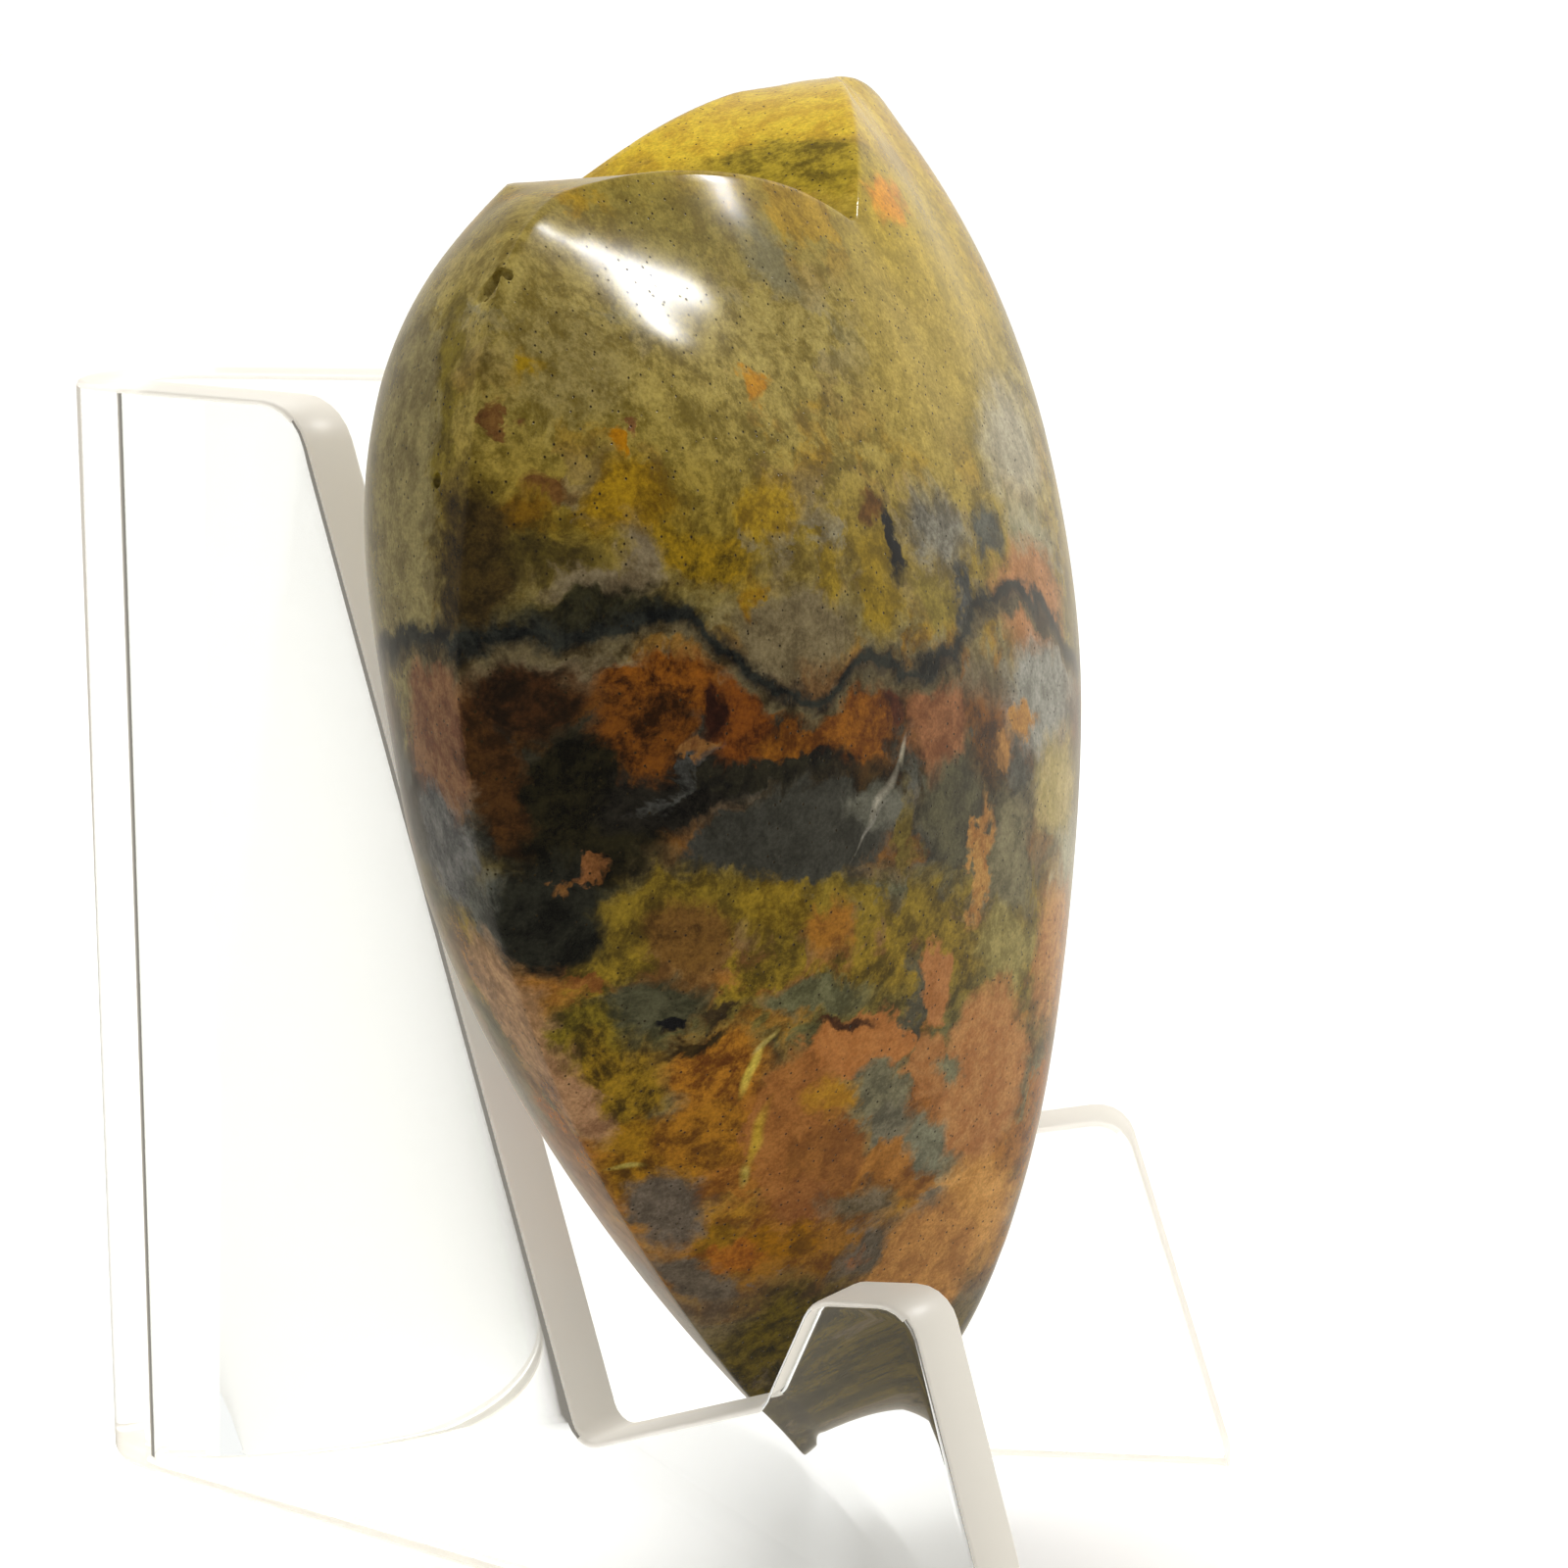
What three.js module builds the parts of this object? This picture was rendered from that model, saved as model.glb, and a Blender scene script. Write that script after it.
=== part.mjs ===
// A carved and polished jasper heart that leans in a clear acrylic easel.
// Millimetres, +Z up. The heart's face looks to -Y and the easel's fold is at +Y.
import * as THREE from "three";
import { mergeVertices } from "three/addons/utils/BufferGeometryUtils.js";

// Driving dimensions of the heart, in its own frame: x across, z up from the tip, y through it
const HEART_HEIGHT = 59.7;
const HEART_WIDTH = 52;
const CLEFT_HEIGHT = 55.6;
const LOBE_OFFSET = 13;
const WIDEST_HEIGHT = 39.5;
const FRONT_DEPTH = 12.4;
const BACK_DEPTH = 11.3;
const HUB_HEIGHT = 33.5;

// The ridge swings to the front over the lobes
const RIDGE_SWING = 1.5;
const SWING_FROM = 42;
const SWING_FULL = 54;
const SWING_FADE = 4;

// The cleft is ground straight through: its wall is widest in the middle and ends past the lobes
const FRONT_WALL = { widest: 5.6, end: 15, taper: 1.3 };
const BACK_WALL = { widest: 10.6, end: 21, taper: 0.7 };
const WALL_STEPS = 6;

// Squares along each side of a face's net, how much they crowd to the ridge, and the weld
const GRID = 40;
const CROWDING = 0.25;
const WELD = 1e-3;

// Roundness of the outline: how far each curve runs before it turns
const CLEFT_FLANK = new THREE.Vector2(3.2, 2.2);
const LOBE_INNER = 5;
const LOBE_OUTER = 10.5;
const SIDE_RISE = 13.5;
const SIDE_FALL = 12;
const FLANK = new THREE.Vector2(11.6, 10);
const TIP_SHOULDER = new THREE.Vector2(2.2, 1.3);

// Section of the heart: both faces come down to a soft ridge, and the back is fuller at the lobes
const SIDE_LAW = { swell: 2.3, blunt: 3 };
const FRONT_LOBE_LAW = { swell: 2.2, blunt: 6 };
const BACK_LOBE_LAW = { swell: 2.9, blunt: 1.1 };
// The spokes that point this far up start to be fuller, and are full from the second
const LOBE_FROM = 0.3;
const LOBE_FULL = 0.9;

// How the heart sits: leaning back, rolled a little to its left, its tip clear of the table
const LEAN_BACK = THREE.MathUtils.degToRad(5.2);
const ROLL = THREE.MathUtils.degToRad(-6.6);
const TIP_LIFT = 1.45;
const TIP_FORWARD = 30.6;
const TIP_SIDE = 1.9;

// Driving dimensions of the easel, one sheet folded round a bar
const SHEET = 3;
const FOLD_RADIUS = 4.75;
const SPLAY = THREE.MathUtils.degToRad(14.5);
const FOLD_STEPS = 14;
const CORNER_STEPS = 5;

// Side view of each wing: distance from the fold, then height
const BACK_TOP = [10.7, 49.3];
const NOTCH = [25.1, 7];
const LEDGE_END = [34.4, 10.8];
const HORN_BACK = [36.7, 15.7];
const HORN_FRONT = [41.4, 16.5];
const FOOT_FRONT = [46.6, 0];
const TOP_CORNER = 2.6;
const NOTCH_CORNER = 0.9;
const HORN_CORNER = 1.7;

const material = (name, color, roughness) =>
  new THREE.MeshStandardMaterial({ name, color, roughness, metalness: 0 });
const jasper = material("polished bumble bee jasper", 0x8f7a36, 0.18);
const acrylic = material("clear acrylic sheet", 0xe4e8e6, 0.08);
acrylic.transparent = true;
acrylic.opacity = 0.35;

const point = (x, z) => new THREE.Vector3(x, 0, z);

// The right half of the outline, from the bottom of the cleft to the tip
function halfOutline() {
  const halfWidth = HEART_WIDTH / 2;
  const half = new THREE.CurvePath();
  half.add(new THREE.CubicBezierCurve3(
    point(0, CLEFT_HEIGHT), point(CLEFT_FLANK.x, CLEFT_HEIGHT + CLEFT_FLANK.y),
    point(LOBE_OFFSET - LOBE_INNER, HEART_HEIGHT), point(LOBE_OFFSET, HEART_HEIGHT)));
  half.add(new THREE.CubicBezierCurve3(
    point(LOBE_OFFSET, HEART_HEIGHT), point(LOBE_OFFSET + LOBE_OUTER, HEART_HEIGHT),
    point(halfWidth, WIDEST_HEIGHT + SIDE_RISE), point(halfWidth, WIDEST_HEIGHT)));
  half.add(new THREE.CubicBezierCurve3(
    point(halfWidth, WIDEST_HEIGHT), point(halfWidth, WIDEST_HEIGHT - SIDE_FALL),
    point(FLANK.x, FLANK.y), point(TIP_SHOULDER.x, TIP_SHOULDER.y)));
  half.add(new THREE.QuadraticBezierCurve3(
    point(TIP_SHOULDER.x, TIP_SHOULDER.y), point(TIP_SHOULDER.y, 0), point(0, 0)));
  return half;
}

// The ridge all round, evenly spaced: cleft, right side, tip, left side
function ridgeLoop(count) {
  const right = halfOutline().getSpacedPoints(count / 2);
  const left = right.slice(1, -1).reverse().map((p) => new THREE.Vector3(-p.x, 0, p.z));
  return [...right, ...left];
}

const ridgeSwing = (z) => -RIDGE_SWING * THREE.MathUtils.smoothstep(z, SWING_FROM, SWING_FULL);

// How far the cleft's wall reaches from the ridge, towards one face
function wallReach(ridge, { widest, end, taper }) {
  const along = ridge.z > WIDEST_HEIGHT ? Math.min(Math.abs(ridge.x) / end, 1) : 1;
  return widest * (1 - Math.pow(along, taper));
}

const fullness = ({ swell, blunt }, reach) => {
  const rise = 1 - Math.pow(reach, swell);
  return (1 + blunt) * rise / (rise + blunt);
};

// One point of a face: reach is 0 at the hub and 1 on the face's edge
function facePoint(reach, ridge, face) {
  const spoke = ridge.clone().sub(point(0, HUB_HEIGHT));
  const upward = THREE.MathUtils.smoothstep(spoke.z / spoke.length(), LOBE_FROM, LOBE_FULL);
  const share = THREE.MathUtils.lerp(
    fullness(SIDE_LAW, reach), fullness(face.lobeLaw, reach), upward);
  const wall = wallReach(ridge, face.wall);
  const swing = ridgeSwing(ridge.z) * Math.pow(reach, SWING_FADE);
  const y = swing + face.out * (wall + (face.depth - wall) * share);
  return point(0, HUB_HEIGHT).addScaledVector(spoke, reach).setY(y);
}

// Four fans of squares stand in for a disc, so that no face has a pole in its middle
function discPlace(column, row, quarterTurn) {
  const a = 2 * column / GRID - 1;
  const b = 2 * row / GRID - 1;
  const ring = Math.max(Math.abs(a), Math.abs(b));
  if (ring === 0) {
    return { reach: 0, step: 0 };
  }
  let side = b / ring;
  let quarter = 0;
  if (b === ring && a !== ring) {
    side = -a / ring;
    quarter = 1;
  } else if (a === -ring && b !== ring) {
    side = -b / ring;
    quarter = 2;
  } else if (b === -ring && a !== -ring) {
    side = a / ring;
    quarter = 3;
  }
  const turn = quarter + side / 2 + quarterTurn;
  const eased = ring * (1 + CROWDING - CROWDING * ring);
  return { reach: eased, step: turn * GRID };
}

// Between its own points the ridge is read along the straight line that joins them
function ridgeAt(loop, step) {
  const wrapped = THREE.MathUtils.euclideanModulo(step, loop.length);
  const low = Math.floor(wrapped);
  const next = (low + 1) % loop.length;
  return loop[low].clone().lerp(loop[next], wrapped - low);
}

// The back is turned by half a quarter, so that no corner of one square meets another's
const FRONT = { depth: FRONT_DEPTH, out: -1, quarterTurn: 0, lobeLaw: FRONT_LOBE_LAW, wall: FRONT_WALL };
const BACK = { depth: BACK_DEPTH, out: 1, quarterTurn: 0.5, lobeLaw: BACK_LOBE_LAW, wall: BACK_WALL };

function heartGeometry() {
  const loop = ridgeLoop(4 * GRID);
  const corners = [];
  const faces = [];
  for (const face of [FRONT, BACK]) {
    const first = corners.length / 3;
    for (let row = 0; row <= GRID; row++) {
      for (let column = 0; column <= GRID; column++) {
        const { reach, step } = discPlace(column, row, face.quarterTurn);
        corners.push(...facePoint(reach, ridgeAt(loop, step), face).toArray());
      }
    }
    for (let row = 0; row < GRID; row++) {
      for (let column = 0; column < GRID; column++) {
        const a = first + row * (GRID + 1) + column;
        const [b, c, d] = [a + 1, a + GRID + 2, a + GRID + 1];
        // Each square is split along its own spoke, so that no triangle closes up
        const sameSide = (2 * row < GRID) === (2 * column < GRID);
        const [p, q, r, s] = sameSide ? [a, b, c, d] : [b, c, d, a];
        faces.push(...(face.out < 0 ? [p, r, q, p, s, r] : [p, q, r, p, r, s]));
      }
    }
  }
  // The cleft's wall is ruled from the front face's edge to the back face's
  for (let step = 0; step < loop.length; step++) {
    const rows = [loop[step], loop[(step + 1) % loop.length]].map(wallRow);
    if (rows.some((row) => row[0].distanceTo(row[WALL_STEPS]) > WELD)) {
      const first = corners.length / 3;
      corners.push(...rows.flat().flatMap((p) => p.toArray()));
      for (let i = 0; i < WALL_STEPS; i++) {
        const [a, b] = [first + i, first + WALL_STEPS + 1 + i];
        faces.push(a, b, b + 1, a, b + 1, a + 1);
      }
    }
  }
  const geometry = new THREE.BufferGeometry();
  geometry.setAttribute("position", new THREE.Float32BufferAttribute(corners, 3));
  geometry.setIndex(faces);
  return withoutSlivers(mergeVertices(geometry, WELD));
}

function wallRow(ridge) {
  const front = facePoint(1, ridge, FRONT);
  const back = facePoint(1, ridge, BACK);
  return Array.from({ length: WALL_STEPS + 1 }, (_, i) => front.clone().lerp(back, i / WALL_STEPS));
}

// Drops the triangles that the weld has closed up
function withoutSlivers(geometry) {
  const index = geometry.index.array;
  const kept = [];
  for (let i = 0; i < index.length; i += 3) {
    const [a, b, c] = index.slice(i, i + 3);
    if (a !== b && b !== c && c !== a) {
      kept.push(a, b, c);
    }
  }
  geometry.setIndex(kept);
  return geometry;
}

// A rounded corner between two straight edges, as points along its arc
function roundCorner(before, corner, after, radius) {
  const at = new THREE.Vector2(...corner);
  const from = new THREE.Vector2(...before).sub(at).normalize();
  const to = new THREE.Vector2(...after).sub(at).normalize();
  const half = Math.acos(from.dot(to)) / 2;
  const reach = radius / Math.tan(half);
  const inward = from.clone().add(to).normalize();
  const centre = at.clone().addScaledVector(inward, radius / Math.sin(half));
  const start = at.clone().addScaledVector(from, reach).sub(centre);
  const end = at.clone().addScaledVector(to, reach).sub(centre);
  const sweep = Math.atan2(start.x * end.y - start.y * end.x, start.dot(end));
  return Array.from({ length: CORNER_STEPS + 1 }, (_, i) => {
    const p = start.clone().rotateAround(new THREE.Vector2(), sweep * i / CORNER_STEPS).add(centre);
    return [p.x, p.y];
  });
}

// One wing as it is cut, from the top of the fold round to its foot
function wingProfile() {
  return [
    ...roundCorner([0, BACK_TOP[1]], BACK_TOP, NOTCH, TOP_CORNER),
    ...roundCorner(BACK_TOP, NOTCH, LEDGE_END, NOTCH_CORNER),
    ...roundCorner(NOTCH, LEDGE_END, HORN_BACK, NOTCH_CORNER),
    ...roundCorner(LEDGE_END, HORN_BACK, HORN_FRONT, HORN_CORNER),
    ...roundCorner(HORN_BACK, HORN_FRONT, FOOT_FRONT, HORN_CORNER),
    FOOT_FRONT,
  ];
}

// The flat sheet is laid round the fold: along is measured from the middle of the fold
const FOLD_TURN = Math.PI / 2 - SPLAY;
const MIDDLE_RADIUS = FOLD_RADIUS - SHEET / 2;
const FOLD_LENGTH = MIDDLE_RADIUS * FOLD_TURN;
function folded(along, height, outward) {
  const side = Math.sign(along);
  const turn = Math.min(Math.abs(along), FOLD_LENGTH) / MIDDLE_RADIUS;
  const past = Math.max(Math.abs(along) - FOLD_LENGTH, 0);
  const radius = MIDDLE_RADIUS + outward * SHEET / 2;
  const x = radius * Math.sin(turn) + past * Math.cos(turn);
  const y = radius * Math.cos(turn) - past * Math.sin(turn);
  return [side * x, y, height];
}

function easelGeometry() {
  const wing = wingProfile();
  const right = wing.map(([along, height]) => [along + FOLD_LENGTH, height]);
  const left = [...right].reverse().map(([along, height]) => [-along, height]);
  const foldAt = (i) => FOLD_LENGTH * (2 * i / FOLD_STEPS - 1);
  const foldTop = Array.from({ length: FOLD_STEPS + 1 }, (_, i) => [foldAt(i), BACK_TOP[1]]);
  const foldLow = Array.from({ length: FOLD_STEPS + 1 }, (_, i) => [foldAt(FOLD_STEPS - i), 0]);
  const loop = [...left, ...foldTop, ...right, ...foldLow];
  const topFirst = left.length;
  const rightFirst = topFirst + foldTop.length;
  const lowFirst = rightFirst + right.length;
  const flat = [];
  const fill = (indexes) => {
    const outline = indexes.map((i) => new THREE.Vector2(...loop[i]));
    for (const [a, b, c] of THREE.ShapeUtils.triangulateShape(outline, [])) {
      flat.push([indexes[a], indexes[b], indexes[c]]);
    }
  };
  const run = (first, count) => Array.from({ length: count }, (_, i) => first + i);
  fill([...run(0, left.length), topFirst, loop.length - 1]);
  fill([rightFirst - 1, ...run(rightFirst, right.length), lowFirst]);
  for (let i = 0; i < FOLD_STEPS; i++) {
    const [top, low] = [topFirst + i, loop.length - 1 - i];
    flat.push([top, low - 1, top + 1], [top, low, low - 1]);
  }
  const count = loop.length;
  const corners = [1, -1].flatMap((outward) =>
    loop.flatMap(([along, height]) => folded(along, height, outward)));
  const faces = [];
  for (const [a, b, c] of flat) {
    const [p, q, r] = turnsLeft(loop[a], loop[b], loop[c]) ? [a, c, b] : [a, b, c];
    faces.push(p, q, r, count + p, count + r, count + q);
  }
  for (let i = 0; i < count; i++) {
    const next = (i + 1) % count;
    faces.push(i, count + next, next, i, count + i, count + next);
  }
  const geometry = new THREE.BufferGeometry();
  geometry.setAttribute("position", new THREE.Float32BufferAttribute(corners, 3));
  geometry.setIndex(faces);
  return geometry;
}

function turnsLeft(a, b, c) {
  return (b[0] - a[0]) * (c[1] - a[1]) - (b[1] - a[1]) * (c[0] - a[0]) > 0;
}

function named(name, geometry, finish) {
  geometry.computeVertexNormals();
  const mesh = new THREE.Mesh(geometry, finish);
  mesh.name = name;
  return mesh;
}

const easel = named("easel", easelGeometry(), acrylic);

const heart = named("heart", heartGeometry(), jasper);
heart.rotation.set(-LEAN_BACK, ROLL, 0, "XYZ");
heart.position.set(TIP_SIDE, -TIP_FORWARD, TIP_LIFT);

// The origin goes to the middle of the whole thing's footprint, on the table
const model = new THREE.Group();
model.add(easel, heart);
const footprint = new THREE.Box3().setFromObject(model, true).getCenter(new THREE.Vector3());
model.position.set(-footprint.x, -footprint.y, 0);

export default model;
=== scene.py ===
# %% [markdown]
# A polished heart of bumble bee jasper leans in a clear acrylic easel.
# The stone and its easel come as two faceted solids at their real size.
# This lesson loads them, gives each the fine surface and finish of the real thing, and lights
# them softly on a pale table. Lengths are in metres, and MM turns millimetres into metres.

# %% Load the frame
import math

import bpy
from mathutils import Euler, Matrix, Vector


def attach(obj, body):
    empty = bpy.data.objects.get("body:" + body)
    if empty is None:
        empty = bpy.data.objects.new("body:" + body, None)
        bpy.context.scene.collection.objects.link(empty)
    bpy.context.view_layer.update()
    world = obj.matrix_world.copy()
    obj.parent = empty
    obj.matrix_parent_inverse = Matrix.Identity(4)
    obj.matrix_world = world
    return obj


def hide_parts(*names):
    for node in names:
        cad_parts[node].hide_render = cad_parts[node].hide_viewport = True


MM = 0.001
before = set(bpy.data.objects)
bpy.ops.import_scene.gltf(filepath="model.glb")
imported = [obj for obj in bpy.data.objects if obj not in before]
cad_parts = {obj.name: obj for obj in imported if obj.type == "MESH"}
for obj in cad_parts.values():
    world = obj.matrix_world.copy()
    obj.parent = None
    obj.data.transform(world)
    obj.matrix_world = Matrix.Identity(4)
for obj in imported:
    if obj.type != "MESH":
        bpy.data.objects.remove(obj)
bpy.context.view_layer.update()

# %% [markdown]
# The camera stands a little above the table and looks at the heart almost edge on, from its
# left. It is a long lens close by, so the stone fills the picture and hardly tapers.
# The place is measured from the stone's tip, the point the eye follows down to.

# %% Camera
HEART_TIP = Vector((4.74, -10.64, 1.45)) * MM
CAMERA_FROM_TIP = Vector((-152.7, -55.3, 65.5)) * MM
VIEW_TURN = (math.radians(78.2), 0, math.radians(-69))
LENS_MM = 90
NEAREST_SEEN = 1 * MM
bpy.ops.object.camera_add(location=HEART_TIP + CAMERA_FROM_TIP, rotation=VIEW_TURN)
camera = bpy.context.object
camera.name = "camera"
camera.data.lens = LENS_MM
camera.data.clip_start = NEAREST_SEEN
bpy.context.scene.camera = camera
bpy.context.scene.view_settings.view_transform = "Standard"
print("camera at", [round(v / MM, 1) for v in camera.location], "mm")

# %% [markdown]
# Colours are listed as sRGB hex values. Shader sockets hold linear light, so one
# function turns the first into the second. Another adds a node with its settings and joins
# its sockets, and every material below is made with it. A third starts a new material.

# %% Colour and node helpers
HEX_FULL = 255
SRGB_TOE = 0.04045
SRGB_TOE_SLOPE = 12.92
SRGB_OFFSET = 0.055
SRGB_GAMMA = 2.4


def linear(hex_colour):
    """An sRGB hex string as linear red, green, blue and alpha."""
    channels = []
    for channel in bytes.fromhex(hex_colour):
        value = channel / HEX_FULL
        if value <= SRGB_TOE:
            channels.append(value / SRGB_TOE_SLOPE)
        else:
            channels.append(((value + SRGB_OFFSET) / (1 + SRGB_OFFSET)) ** SRGB_GAMMA)
    return (*channels, 1.0)


def add_node(tree, kind, settings=None, inputs=None):
    """Adds a node. An input is a plain value, or an output socket to link from."""
    node = tree.nodes.new("ShaderNode" + kind)
    for name, value in (settings or {}).items():
        setattr(node, name, value)
    for name, value in (inputs or {}).items():
        if isinstance(value, bpy.types.NodeSocket):
            tree.links.new(value, node.inputs[name])
        else:
            node.inputs[name].default_value = value
    return node


def new_material(name):
    """A material with only its output node, and the tree to add to."""
    material = bpy.data.materials.new(name)
    material.use_nodes = True
    tree = material.node_tree
    tree.nodes.clear()
    output = add_node(tree, "OutputMaterial")
    return material, tree, output


print("mustard in linear light:", [round(v, 3) for v in linear("b8942e")])

# %% [markdown]
# The stone stands on a sheet of matt white paper that runs far back, so it fills the picture.
# A plane is enough for it. The dark bands of the polished stone hardly mirror the table, so
# the paper is hidden from mirror reflections.

# %% Table
TABLE_SIZE = 24.0
bpy.ops.mesh.primitive_plane_add(size=TABLE_SIZE)
table = bpy.context.object
table.name = "table"
# Pressed pulp is rough all over: it spreads the light evenly and shows no lamp
paper, paper_tree, paper_output = new_material("matt white paper")
paper_shader = add_node(paper_tree, "BsdfPrincipled", inputs={
    "Base Color": linear("f6f6f5"), "Roughness": 0.9})
paper_tree.links.new(paper_shader.outputs["BSDF"], paper_output.inputs["Surface"])
table.data.materials.append(paper)
table.visible_glossy = False
print("table:", TABLE_SIZE, "m square")

# %% [markdown]
# A tent of white cloth closes the view on every side, so clear acrylic has white behind it,
# and that is what makes it look clear. The tent is a large ball with a plain glow, a little
# over white so that no seam shows where it meets the table. Only the camera sees it, straight
# or through the acrylic. The light on the stone comes from the room and the lamps below.

# %% Light tent
TENT_RADIUS = 3.0
TENT_GLOW = 1.2
bpy.ops.mesh.primitive_uv_sphere_add(radius=TENT_RADIUS)
tent = bpy.context.object
tent.name = "light tent"
# Woven cloth lit from outside glows evenly, so the eye reads it as empty white
cloth, cloth_tree, cloth_output = new_material("white tent cloth")
cloth_glow = add_node(cloth_tree, "Emission", inputs={
    "Color": linear("fdfdfd"), "Strength": TENT_GLOW})
cloth_tree.links.new(cloth_glow.outputs["Emission"], cloth_output.inputs["Surface"])
tent.data.materials.append(cloth)
tent.visible_glossy = False
tent.visible_diffuse = False
tent.visible_shadow = False
print("tent:", TENT_RADIUS, "m in radius")

# %% [markdown]
# A polished stone mirrors the room it stands in. Here the room is bright beyond the stone, on
# the right, and dim on the camera's side, which keeps the dark bands deep. The World shader
# compares each direction with the bright side, and eases the result into a strength.

# %% The room
BRIGHT_SIDE = Vector((0.97, -0.25, 0.0))
DIM_FACING, BRIGHT_FACING = 0.25, 1.0
DIM_STRENGTH, BRIGHT_STRENGTH = 0.26, 0.8
room = bpy.data.worlds.new("pale room")
room.use_nodes = True
bpy.context.scene.world = room
sky = room.node_tree
backdrop = sky.nodes["Background"]
backdrop.inputs["Color"].default_value = linear("fdf5e6")
sky_way = add_node(sky, "TexCoord").outputs["Generated"]
facing = add_node(sky, "VectorMath", {"operation": "DOT_PRODUCT"}, {0: sky_way, 1: BRIGHT_SIDE})
strength = add_node(sky, "MapRange", {"interpolation_type": "SMOOTHSTEP"}, {
    "Value": facing.outputs["Value"], "From Min": DIM_FACING, "From Max": BRIGHT_FACING,
    "To Min": DIM_STRENGTH, "To Max": BRIGHT_STRENGTH})
sky.links.new(strength.outputs["Result"], backdrop.inputs["Strength"])
print("room strength from", DIM_STRENGTH, "to", BRIGHT_STRENGTH)

# %% [markdown]
# Broad daylight falls from above and behind, and a wide weak fill opens the shadows on the
# right. Neither is mirrored in the polish. A third lamp, a small bright window high on the right
# and a little beyond the stone, is there to be mirrored: it draws the hard white streak on the
# near lobe. Its width and its roll set how long the streak is, and how it slants.

# %% Lamps
DAYLIGHT_FROM = Vector((0.5, 0.42, 1.1))
DAYLIGHT_STRENGTH = 3.3
DAYLIGHT_SPREAD = math.radians(50)
bpy.ops.object.light_add(type="SUN")
daylight = bpy.context.object
daylight.name = "broad light from behind"
daylight.rotation_euler = DAYLIGHT_FROM.to_track_quat("Z", "Y").to_euler()
daylight.data.energy = DAYLIGHT_STRENGTH
daylight.data.angle = DAYLIGHT_SPREAD
daylight.visible_glossy = False

NEAR_LOBE = Vector((-18, -9, 56)) * MM


def soft_box(name, place, size, watts, roll=0.0):
    """A rectangular lamp that faces the near lobe, with its place and size in millimetres."""
    bpy.ops.object.light_add(type="AREA", location=Vector(place) * MM)
    lamp = bpy.context.object
    lamp.name = name
    away = lamp.location - NEAR_LOBE
    roll_turn = Euler((0, 0, math.radians(roll))).to_quaternion()
    lamp.rotation_euler = (away.to_track_quat("Z", "Y") @ roll_turn).to_euler()
    lamp.data.shape = "RECTANGLE"
    lamp.data.size = size[0] * MM
    lamp.data.size_y = size[1] * MM
    lamp.data.energy = watts
    return lamp


soft_box("small bright window", place=(173.5, -154, 236), size=(64, 15), watts=0.22, roll=34)
fill = soft_box("broad fill", place=(230, -260, 300), size=(300, 300), watts=0.35)
fill.visible_glossy = False

# %% [markdown]
# A carved heart has no flat facets: it is ground on a wheel and polished, so only the soft
# ridge round its edge stays. The faceted solid already has that shape. A copy of it is
# merged, its triangles are paired into squares, and a Subdivision Surface modifier makes
# them fine enough that the gloss shows no corners. The ridge is creased a little first, so
# that it stays as crisp as the wheel leaves it. All other points are smoothed.

# %% The stone's surface
WELD = 0.001 * MM
RIDGE_ANGLE = math.radians(35)
RIDGE_CREASE = 0.5
SMOOTH_SHARE = 0.5
SMOOTH_ROUNDS = 5
FINE_LEVELS = 2


def copy_of_node(node, name):
    """A merged copy of a solid under a new name, alone selected and active."""
    bpy.ops.object.select_all(action="DESELECT")
    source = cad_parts[node]
    source.select_set(True)
    bpy.context.view_layer.objects.active = source
    bpy.ops.object.duplicate()
    piece = bpy.context.object
    piece.name = name
    piece.data.name = name
    piece.data.materials.clear()
    bpy.ops.object.mode_set(mode="EDIT")
    bpy.ops.mesh.select_all(action="SELECT")
    bpy.ops.mesh.remove_doubles(threshold=WELD)
    bpy.ops.object.mode_set(mode="OBJECT")
    return piece


stone = copy_of_node("heart", "heart_stone")
bpy.ops.object.mode_set(mode="EDIT")
bpy.ops.mesh.tris_convert_to_quads()
bpy.ops.mesh.select_all(action="DESELECT")
bpy.ops.mesh.select_mode(type="EDGE")
bpy.ops.mesh.edges_select_sharp(sharpness=RIDGE_ANGLE)
bpy.ops.transform.edge_crease(value=RIDGE_CREASE)
bpy.ops.mesh.select_mode(type="VERT")
bpy.ops.mesh.select_all(action="INVERT")
bpy.ops.mesh.vertices_smooth(factor=SMOOTH_SHARE, repeat=SMOOTH_ROUNDS)
bpy.ops.object.mode_set(mode="OBJECT")
subdivide = stone.modifiers.new("fine surface", "SUBSURF")
subdivide.levels = FINE_LEVELS
subdivide.render_levels = FINE_LEVELS
bpy.ops.object.modifier_apply(modifier=subdivide.name)
print("stone has", len(stone.data.polygons), "faces")

# %% [markdown]
# Two grains have fallen out near the ridge and left real holes: a ragged one high up, and a
# small round one lower down. A hole could be sunk by pulling points inwards, but its wall
# would be drawn out and soft. A Boolean with a cluster of little balls leaves a crisp rim.

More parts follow.
